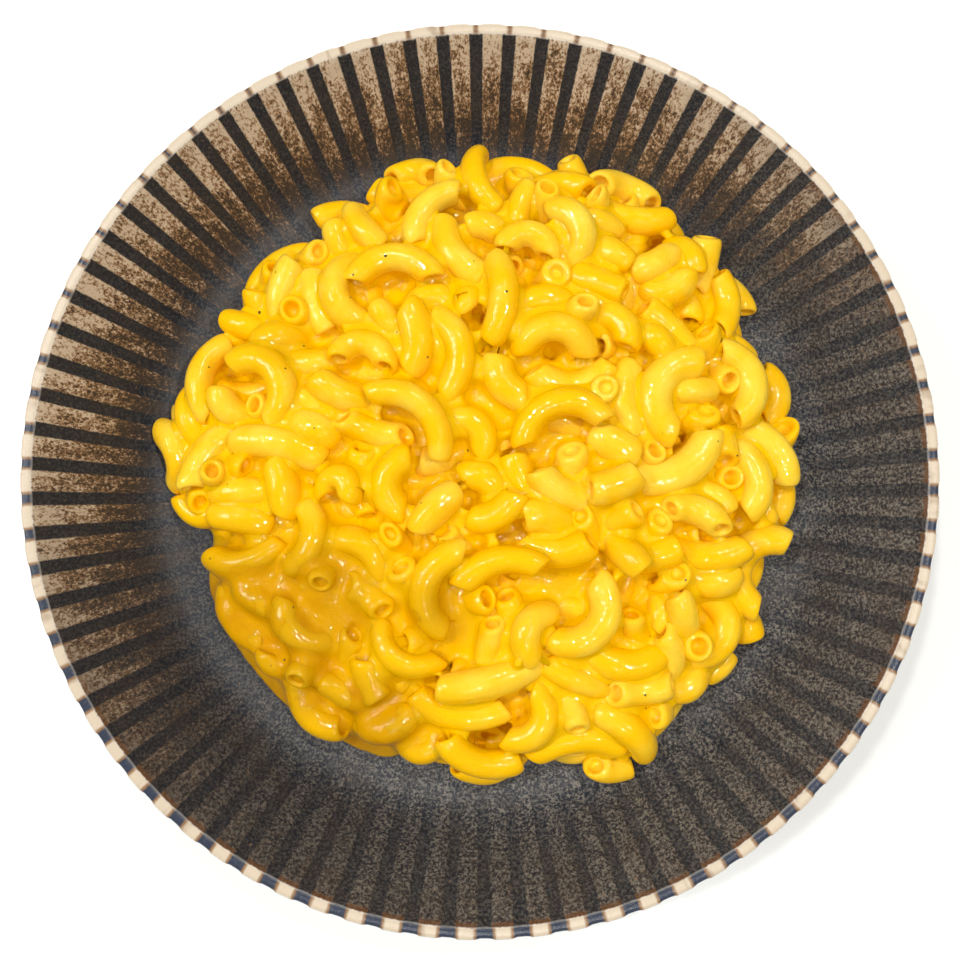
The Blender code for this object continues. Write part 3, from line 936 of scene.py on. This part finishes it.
def solid_cage():
    """A plain closed tube along Z, for the sauce to form round."""
    bm = bmesh.new()
    ring = bmesh.ops.create_circle(bm, segments=10, radius=1.0)["verts"]
    loop = list(dict.fromkeys(edge for vert in ring for edge in vert.link_edges))
    bmesh.ops.contextual_create(bm, geom=loop)
    bmesh.ops.scale(bm, verts=ring, vec=(0.72, 0.72, 1.0))
    bmesh.ops.translate(bm, verts=ring, vec=(0, 0, 0.07))
    draw_rings(bm, loop, ((0.15, 0.95), (0.3, 1.0), (0.5, 1.0), (0.7, 1.0), (0.85, 0.95), (0.93, 0.72)))
    return bm


def habit(index):
    """How this macaroni differs from the next: width, ovalness, slant and pinch of its two ends."""
    chance = np.random.default_rng(1000 + index)
    return {
        "width": chance.uniform(0.91, 1.10),
        "oval": chance.uniform(-0.06, 0.08),
        "slants": chance.uniform(-0.15, 0.45, 2),
        "twists": chance.uniform(-0.7, 0.7, 2),
        "pinches": np.maximum(0.0, chance.uniform(-0.6, 0.3, 2)),
        "tone": chance.uniform(-0.14, 0.26),
    }


def bend_cage(verts, arc, tube_radius, traits):
    """Bends a straight cage onto its arc, and gives it its own width and ends."""
    middle, towards, along, radius, half = arc
    across = towards.cross(along)
    length = 2 * half * radius
    for vert in verts:
        x, y, share = vert.co
        end = 0 if share < 0.5 else 1
        sign = -1.0 if end == 0 else 1.0
        near = smooth_step(0.30, 0.0, share if end == 0 else 1.0 - share)
        lean = x * math.cos(traits["twists"][end]) + y * math.sin(traits["twists"][end])
        distance = (share - 0.5) * length + sign * near * traits["slants"][end] * lean * 0.6 * tube_radius
        pinch = 1.0 - 0.55 * traits["pinches"][end] * near
        swell = 1.0 + 0.25 * traits["pinches"][end] * near
        x *= tube_radius * traits["width"] * (1.0 + traits["oval"]) * swell
        y *= tube_radius * traits["width"] * (1.0 - traits["oval"]) * pinch
        angle = distance / radius
        outward = towards * math.cos(angle) + along * math.sin(angle)
        vert.co = middle + outward * (radius + x) + across * y
        vert.co += noise.noise_vector(vert.co * LUMPS_PER_METRE) * LUMP_HEIGHT


def add_macaroni(bm, cage_mesh, arc, tube_radius, traits):
    before = len(bm.verts)
    bm.from_mesh(cage_mesh)
    bm.verts.ensure_lookup_table()
    bend_cage(bm.verts[before:], arc, tube_radius, traits)


def heap_attributes(mesh):
    """Stores on each point how far it lies under the heap's skin, and how thick the sauce is there."""
    coords = np.empty(len(mesh.vertices) * 3)
    mesh.vertices.foreach_get("co", coords)
    coords = coords.reshape(-1, 3)
    depth = (crown_height(coords[:, 0], coords[:, 1]) - coords[:, 2]) / 0.010
    for name, values in (("depth", depth), ("sauced", sauce_amount(coords[:, 0], coords[:, 1]))):
        attribute = mesh.attributes.new(name, "FLOAT", "POINT")
        attribute.data.foreach_set("value", np.clip(values, 0.0, 1.5).astype(np.float32))


def macaroni_mesh(name, indices):
    arcs, _ = settled_arcs()
    pasta = bpy.context.scene.pasta_settings
    noise.seed_set(LUMP_SEED)
    cage = mesh_from(hollow_cage(pasta.bore_share), name + "_cage")
    bm = bmesh.new()
    for index in indices:
        add_macaroni(bm, cage, arcs[index], pasta.tube_radius * CAGE_SWELL, habit(index))
    bmesh.ops.recalc_face_normals(bm, faces=bm.faces)
    mesh = mesh_from(bm, name)
    bpy.data.meshes.remove(cage)
    heap_attributes(mesh)
    tones = [habit(index)["tone"] for index in indices]
    tone = mesh.attributes.new("tone", "FLOAT", "POINT")
    tone.data.foreach_set("value", np.repeat(tones, len(mesh.vertices) // len(tones)).astype(np.float32))
    return mesh


@functools.cache
def pasta_material():
    """Cooked durum wheat pasta under a film of cheese sauce. Light sinks a little way in, and the wet film
    gives small sharp highlights."""
    pasta = bpy.context.scene.pasta_settings
    material, tree, shader = new_material("sauced_durum_pasta")
    place = object_place(tree)
    depth = stored(tree, "depth")
    sauced = stored(tree, "sauced")

    patches = grained(tree, place, 9.0)
    thin = calculated(tree, "SUBTRACT", patches, sauced)
    thin = calculated(tree, "ADD", thin, stored(tree, "tone"))
    thin = graded(tree, thin, 0.38, 1.10, top=0.9, kind="SMOOTHSTEP")
    colour = mixed(tree, thin, opaque(pasta.yellow), opaque(pasta.pale))
    colour = mixed(tree, graded(tree, sauced, *THICK_SAUCE, top=0.85), colour, opaque(pasta.coated))
    # Painted shade: darker amber the deeper the pasta lies under the heap's skin
    colour = mixed(tree, graded(tree, depth, 0.25, 1.3, top=0.9), colour, opaque(pasta.amber))
    tree.links.new(colour, shader.inputs["Base Color"])
    gloss = graded(tree, patches, 0.3, 0.7, 0.10, 0.22)
    tree.links.new(gloss, shader.inputs["Roughness"])

    lumps = grained(tree, place, 1.7, 4.0, 0.62)
    own = {"Coat Weight": 0.75, "Coat IOR": 1.38, "Subsurface Weight": 0.35, "Subsurface Scale": 0.0022}
    make_moist(tree, shader, place, lumps, own)
    return material


class MACCHEESE_OT_macaroni(bpy.types.Operator):
    """Heap the macaroni: the listed top layer in three pieces, and the buried ones"""

    bl_idname = "maccheese.macaroni"
    bl_label = "Macaroni"

    def execute(self, context):
        arcs, top_count = settled_arcs()
        by_depth = sorted(range(top_count), key=lambda i: arcs[i][0].y)
        third = math.ceil(top_count / 3)
        rows = {"macaroni_front": 0, "macaroni_middle": third, "macaroni_back": 2 * third}
        for name, first in rows.items():
            mesh = macaroni_mesh(name, by_depth[first : first + third])
            piece = finish_piece(name, mesh, pasta_material(), "macaroni", "macaroni_heap")
            add_subdivision(piece, 2)
        outer = len(arcs) - FLOOR_RING
        for name, indices, levels in (
            ("macaroni_buried", range(top_count, outer), 1),
            ("macaroni_edge", range(outer, len(arcs)), 2),
        ):
            mesh = macaroni_mesh(name, indices)
            piece = finish_piece(name, mesh, pasta_material(), "macaroni", "macaroni_heap")
            add_subdivision(piece, levels)
        return {"FINISHED"}


# Sauce ----------------------------------------------------------------------------------------

# Where sauce lies thick on the heap: right mm, back mm, spread mm, strength
SAUCE_BLOBS = (
    (-64, -42, 24, 1.0),
    (-44, -38, 20, 0.95),
    (-50, -58, 16, 1.0),
    (-30, -70, 17, 0.95),
    (-12, -40, 13, 0.7),
    (-55, 32, 11, 0.4),
    (20, -30, 11, 0.35),
    (10, 24, 12, 0.25),
    (-38, 4, 12, 0.2),
    (42, -24, 9, 0.3),
)


MOUND_INSET = 0.0115  # the mound's edge, inside the heap's outline
MOUND_SPREAD = 0.0118  # how far thick sauce carries it out again
MOUND_DEPTH = 0.0068  # the mound's top, under the heap's skin
MOUND_RISE = 0.0060  # how far thick sauce lifts it again
SAUCE_SINK = 0.00028  # thin sauce lies this far under the macaroni's backs
SAUCE_COVER = 0.00110  # thick sauce lies this much higher
SAUCE_RIPPLE = 0.00018
DEEP_SAUCE = 0.7  # amount over which even the open ends are filled


def sauce_amount(x, y):
    """How thick the sauce lies here: 0 is a film, 1 hides the macaroni."""
    total = np.zeros_like(np.asarray(x, float))
    for right, back, spread, strength in SAUCE_BLOBS:
        away = ((x - right * MM) ** 2 + (y - back * MM) ** 2) / (spread * MM) ** 2
        total = np.maximum(total, strength * np.exp(-away))
    return total


def mound_mesh():
    """The smooth mound of sauce inside the heap. Where sauce lies thick it comes up to the macaroni's
    backs and out past them."""
    rings = 34
    bm = bmesh.new()
    profile = [bm.verts.new((share, 0, 0)) for share in np.linspace(0.0, 1.0, rings)]
    edges = [bm.edges.new(pair) for pair in zip(profile, profile[1:])]
    turn = {"axis": (0, 0, 1), "cent": (0, 0, 0), "angle": 2 * math.pi, "steps": 120, "use_merge": True}
    bmesh.ops.spin(bm, geom=profile + edges, **turn)
    bmesh.ops.remove_doubles(bm, verts=bm.verts, dist=1e-5)
    for vert in bm.verts:
        share = math.hypot(vert.co.x, vert.co.y)
        angle = math.atan2(vert.co.y, vert.co.x)
        edge = heap_reach(angle) - 0.004
        amount = float(sauce_amount(edge * math.cos(angle), edge * math.sin(angle)))
        reach = heap_reach(angle) - MOUND_INSET + MOUND_SPREAD * min(1.0, 1.5 * amount)
        vert.co.x = share * reach * math.cos(angle)
        vert.co.y = share * reach * math.sin(angle)
        under = MOUND_DEPTH - MOUND_RISE * float(sauce_amount(vert.co.x, vert.co.y))
        height = float(crown_height(vert.co.x, vert.co.y)) - under
        shoulder = (1.0 - share**10) ** 0.5
        vert.co.z = HEAP_BASE + max(0.0015, height - HEAP_BASE) * shoulder
    bmesh.ops.recalc_face_normals(bm, faces=bm.faces)
    border = [edge for edge in bm.edges if edge.is_boundary]
    made = bmesh.ops.extrude_edge_only(bm, edges=border)["geom"]
    lower = [item for item in made if isinstance(item, bmesh.types.BMVert)]
    for vert in lower:
        vert.co.z = HEAP_BASE
    bmesh.ops.contextual_create(bm, geom=[item for item in made if isinstance(item, bmesh.types.BMEdge)])
    bmesh.ops.recalc_face_normals(bm, faces=bm.faces)
    return bm


def drawn_together(bm, sauce):
    """Closes the gaps between the shapes as a thick sauce would: swell, melt into one, shrink back."""
    guide = bpy.data.objects.new("sauce_guide", mesh_from(bm, "sauce_guide"))
    bpy.context.scene.collection.objects.link(guide)
    for name, kind, settings in (
        ("melt", "REMESH", {"mode": "VOXEL", "voxel_size": sauce.voxel}),
        ("swell", "DISPLACE", {"strength": sauce.fillet, "mid_level": 0.0}),
        ("melt_again", "REMESH", {"mode": "VOXEL", "voxel_size": sauce.voxel}),
        ("settle", "SMOOTH", {"factor": 0.5, "iterations": 3}),
        ("shrink", "DISPLACE", {"strength": -sauce.fillet, "mid_level": 0.0}),
        ("even", "REMESH", {"mode": "VOXEL", "voxel_size": sauce.voxel}),
        ("calm", "SMOOTH", {"factor": 0.5, "iterations": 4}),
    ):
        modifier = guide.modifiers.new(name, kind)
        for setting, value in settings.items():
            setattr(modifier, setting, value)
    graph = bpy.context.evaluated_depsgraph_get()
    mesh = bpy.data.meshes.new_from_object(guide.evaluated_get(graph))
    bpy.data.objects.remove(guide, do_unlink=True)
    return mesh


def open_ends():
    """(place, outward direction) of both ends of every macaroni."""
    arcs, _ = settled_arcs()
    for middle, towards, along, radius, half in arcs:
        for sign in (-1.0, 1.0):
            outward = towards * math.cos(half) + along * (sign * math.sin(half))
            direction = along * math.cos(half) - towards * (sign * math.sin(half))
            yield middle + outward * radius, direction * sign


def fit_sauce(mesh, pasta):
    """Lets the macaroni's backs stand out where sauce is thin, covers them where it is thick, and keeps it
    out of the open ends."""
    count = len(mesh.vertices)
    coords = np.empty(count * 3)
    normals = np.empty(count * 3)
    mesh.vertices.foreach_get("co", coords)
    mesh.vertex_normals.foreach_get("vector", normals)
    coords = coords.reshape(-1, 3)
    normals = normals.reshape(-1, 3)
    amount = sauce_amount(coords[:, 0], coords[:, 1])
    ripple = np.array([noise.noise(Vector(co) * 260) for co in coords])
    coords += normals * (SAUCE_COVER * amount + SAUCE_RIPPLE * ripple - SAUCE_SINK)[:, None]
    bore = pasta.tube_radius * (pasta.bore_share + 0.12)
    for place, direction in open_ends():
        if float(sauce_amount(place.x, place.y)) > DEEP_SAUCE:
            continue
        place, direction = np.array(place), np.array(direction)
        offset = coords - place
        ahead = offset @ direction
        beside = np.linalg.norm(offset - ahead[:, None] * direction, axis=1)
        inside = (ahead > -0.0048) & (ahead < 0.0022) & (beside < bore)
        coords[inside] -= direction * (ahead[inside] + 0.0050)[:, None]
    coords[:, 2] = np.maximum(coords[:, 2], FLOOR_TOP + 0.0001)
    mesh.vertices.foreach_set("co", coords.ravel())
    mesh.update()


def sauce_mesh(sauce, pasta):
    arcs, _ = settled_arcs()
    bm = bmesh.new()
    cage = mesh_from(solid_cage(), "solid_cage")
    for index, arc in enumerate(arcs):
        traits = habit(index)
        traits["slants"] = traits["slants"] * 0.6
        add_macaroni(bm, cage, arc, pasta.tube_radius * 0.95, traits)
    mound = mesh_from(mound_mesh(), "mound")
    bm.from_mesh(mound)
    bmesh.ops.recalc_face_normals(bm, faces=bm.faces)
    bpy.data.meshes.remove(cage)
    bpy.data.meshes.remove(mound)
    mesh = drawn_together(bm, sauce)
    mesh.name = "cheese_sauce_between"
    fit_sauce(mesh, pasta)
    heap_attributes(mesh)
    return mesh


def sauce_material(sauce):
    """Cheese sauce of butter, milk and cheddar, simmered thick. It glows where light passes through a thin
    layer, goes orange in the depth of the heap, and its skin is wet and faintly lumpy."""
    material, tree, shader = new_material("cheddar_sauce")
    place = object_place(tree)
    thick = graded(tree, stored(tree, "sauced"), *THICK_SAUCE)
    caught = graded(tree, grained(tree, place, 11.0, 3.0), 0.50, 0.72, top=0.7)
    dark = mixed(tree, caught, opaque(sauce.amber), opaque(sauce.brown))
    colour = mixed(tree, thick, opaque(sauce.gold), dark)
    tree.links.new(colour, shader.inputs["Base Color"])

    lumps = grained(tree, place, 1.3, 4.0, 0.6)
    own = {"Coat Weight": 0.45, "Coat IOR": 1.36, "Subsurface Weight": 0.25, "Subsurface Scale": 0.0025}
    make_moist(tree, shader, place, lumps, own | {"Roughness": 0.2})
    return material


class MACCHEESE_OT_sauce(bpy.types.Operator):
    """Draw the cheese sauce between and over the macaroni"""

    bl_idname = "maccheese.sauce"
    bl_label = "Cheese Sauce"

    def execute(self, context):
        scene = context.scene
        mesh = sauce_mesh(scene.sauce_settings, scene.pasta_settings)
        material = sauce_material(scene.sauce_settings)
        finish_piece("cheese_sauce_between", mesh, material, "cheese_sauce", "cheese_sauce", "macaroni_heap")
        return {"FINISHED"}


# Pepper ---------------------------------------------------------------------------------------

# Flakes that stand out: right mm, back mm, width mm, and whether the fleck is a green herb
NOTED_FLECKS = (
    (-26, 57, 0.9, 0),
    (22, 15, 0.9, 1),
    (24, 13, 0.6, 1),
    (44, -62, 0.8, 1),
    (-63, 44, 1.1, 0),
    (-49, 33, 0.8, 0),
)


def food_surfaces():
    graph = bpy.context.evaluated_depsgraph_get()
    names = ("macaroni_front", "macaroni_middle", "macaroni_back", "macaroni_edge", "cheese_sauce_between")
    return [BVHTree.FromObject(bpy.data.objects[name], graph) for name in names]


def topmost(trees, x, y):
    """The highest point of the food over (x, y), with its normal."""
    above = Vector((x, y, 0.1))
    hits = [tree.ray_cast(above, Vector((0, 0, -1))) for tree in trees]
    hits = [hit for hit in hits if hit[0] is not None]
    return max(hits, key=lambda hit: hit[0].z, default=None)


def pepper_mesh(pepper, seed):
    chance = np.random.default_rng(seed)
    trees = food_surfaces()
    flecks = [(right * MM, back * MM, width * MM, herb) for right, back, width, herb in NOTED_FLECKS]
    for _ in range(pepper.count):
        angle = chance.uniform(0, 2 * math.pi)
        reach = (float(heap_reach(angle)) - 0.008) * math.sqrt(chance.uniform())
        width = pepper.size * chance.uniform(0.45, 1.3)
        flecks.append((reach * math.cos(angle), reach * math.sin(angle), width, 0))
    bm = bmesh.new()
    herb_layer = bm.verts.layers.float.new("herb")
    for x, y, width, herb in flecks:
        hit = topmost(trees, x, y)
        if hit is None or hit[1].z < 0.4:
            continue
        place, normal = hit[0], hit[1]
        verts = bmesh.ops.create_icosphere(bm, subdivisions=1, radius=width / 2)["verts"]
        stretch = Vector((chance.uniform(0.6, 1.3), chance.uniform(0.6, 1.1), 0.35))
        turn = normal.to_track_quat("Z", "Y").to_matrix() @ Matrix.Rotation(chance.uniform(0, 6.28), 3, "Z")
        for vert in verts:
            jagged = chance.uniform(0.7, 1.25)
            local = Vector([axis * size * jagged for axis, size in zip(vert.co, stretch)])
            vert.co = place + turn @ local
            vert[herb_layer] = herb
    return mesh_from(bm, "pepper")


def pepper_material(pepper):
    """Coarse ground pepper, wet with sauce, with a few flecks of dried parsley that look dull green."""
    material, tree, shader = new_material("wet_ground_pepper")
    colour = mixed(tree, stored(tree, "herb"), opaque(pepper.brown), opaque(pepper.green))
    tree.links.new(colour, shader.inputs["Base Color"])
    set_shader(shader, {"Roughness": 0.35})
    return material


class MACCHEESE_OT_pepper(bpy.types.Operator):
    """Scatter ground pepper on the heap"""

    bl_idname = "maccheese.pepper"
    bl_label = "Pepper"

    def execute(self, context):
        pepper = context.scene.pepper_settings
        mesh = pepper_mesh(pepper, context.scene.pasta_settings.seed)
        finish_piece("ground_pepper", mesh, pepper_material(pepper), "cheese_sauce", "macaroni_heap")
        return {"FINISHED"}


# Stage ----------------------------------------------------------------------------------------


def add_far_light(name, towards, spread_degrees, strength, colour):
    """A disk of light too far away to fall off across the floor."""
    light = bpy.data.lights.new(name, "SUN")
    light.angle = math.radians(spread_degrees)
    light.energy = strength
    light.color = colour
    holder = bpy.data.objects.new(name, light)
    holder.location = towards
    holder.rotation_euler = Vector(towards).to_track_quat("Z", "Y").to_euler()
    bpy.context.scene.collection.objects.link(holder)


def add_floor(stage):
    bm = bmesh.new()
    bmesh.ops.create_grid(bm, x_segments=1, y_segments=1, size=12.0)
    material, _, shader = new_material("matt_white_paper")
    shader.inputs["Base Color"].default_value = opaque(stage.backdrop)
    shader.inputs["Roughness"].default_value = 0.9
    mesh = mesh_from(bm, "floor")
    mesh.materials.append(material)
    floor = bpy.data.objects.new("floor", mesh)
    bpy.context.scene.collection.objects.link(floor)


def add_camera(stage):
    camera = bpy.data.cameras.new("camera")
    camera.lens = stage.lens
    camera.sensor_width = 36.0
    camera.shift_y = stage.shift
    camera.clip_start = 0.01
    camera.dof.use_dof = False
    holder = bpy.data.objects.new("camera", camera)
    holder.location = lens_place(stage)
    holder.rotation_euler = (stage.tilt, 0.0, 0.0)
    bpy.context.scene.collection.objects.link(holder)
    bpy.context.scene.camera = holder


# Directions of the window and of the ceiling lamps that make the small highlights
WINDOW = (-0.62, 0.06, 0.60)
LAMPS = ((-0.38, 0.24, 0.8), (0.16, 0.44, 0.85), (0.04, -0.42, 0.9), (0.42, -0.06, 0.85))


class MACCHEESE_OT_stage(bpy.types.Operator):
    """Set the pale floor, the soft lights and the camera"""

    bl_idname = "maccheese.stage"
    bl_label = "Stage"

    def execute(self, context):
        scene = context.scene
        stage = scene.stage_settings
        add_floor(stage)
        add_camera(stage)
        world = bpy.data.worlds.new("studio")
        world.use_nodes = True
        background = world.node_tree.nodes["Background"]
        background.inputs["Color"].default_value = opaque(stage.backdrop)
        seen = add_node(world.node_tree, "ShaderNodeLightPath", {}, {}).outputs["Is Camera Ray"]
        strength = graded(world.node_tree, seen, 0.0, 1.0, stage.sky, stage.sky_seen)
        world.node_tree.links.new(strength, background.inputs["Strength"])
        scene.world = world
        scene.view_settings.view_transform = "Standard"
        add_far_light("window", WINDOW, 20.0, stage.sun, (0.92, 0.96, 1.0))
        for index, towards in enumerate(LAMPS):
            add_far_light(f"lamp_{index}", towards, 3.0, stage.lamp, (1.0, 0.99, 0.96))
        return {"FINISHED"}


# Add-on ---------------------------------------------------------------------------------------

OPERATORS = (
    MACCHEESE_OT_bowl,
    MACCHEESE_OT_macaroni,
    MACCHEESE_OT_sauce,
    MACCHEESE_OT_pepper,
    MACCHEESE_OT_stage,
)


class MACCHEESE_PT_panel(bpy.types.Panel):
    """Lists the pieces and their settings"""

    bl_idname = "MACCHEESE_PT_panel"
    bl_label = "Mac and Cheese"
    bl_space_type = "VIEW_3D"
    bl_region_type = "UI"
    bl_category = "Mac and Cheese"

    def draw(self, context):
        for operator in OPERATORS:
            self.layout.operator(operator.bl_idname)
        for name, group in SETTINGS.items():
            box = self.layout.box()
            for field in group.__annotations__:
                box.prop(getattr(context.scene, name), field)


CLASSES = (*SETTINGS.values(), *OPERATORS, MACCHEESE_PT_panel)


def register():
    for cls in CLASSES:
        bpy.utils.register_class(cls)
    for name, group in SETTINGS.items():
        setattr(bpy.types.Scene, name, PointerProperty(type=group))


def unregister():
    for name in SETTINGS:
        delattr(bpy.types.Scene, name)
    for cls in reversed(CLASSES):
        bpy.utils.unregister_class(cls)


def main():
    register()
    bpy.ops.maccheese.bowl()
    bpy.ops.maccheese.macaroni()
    bpy.ops.maccheese.sauce()
    bpy.ops.maccheese.pepper()
    bpy.ops.maccheese.stage()


if __name__ == "__main__":
    main()
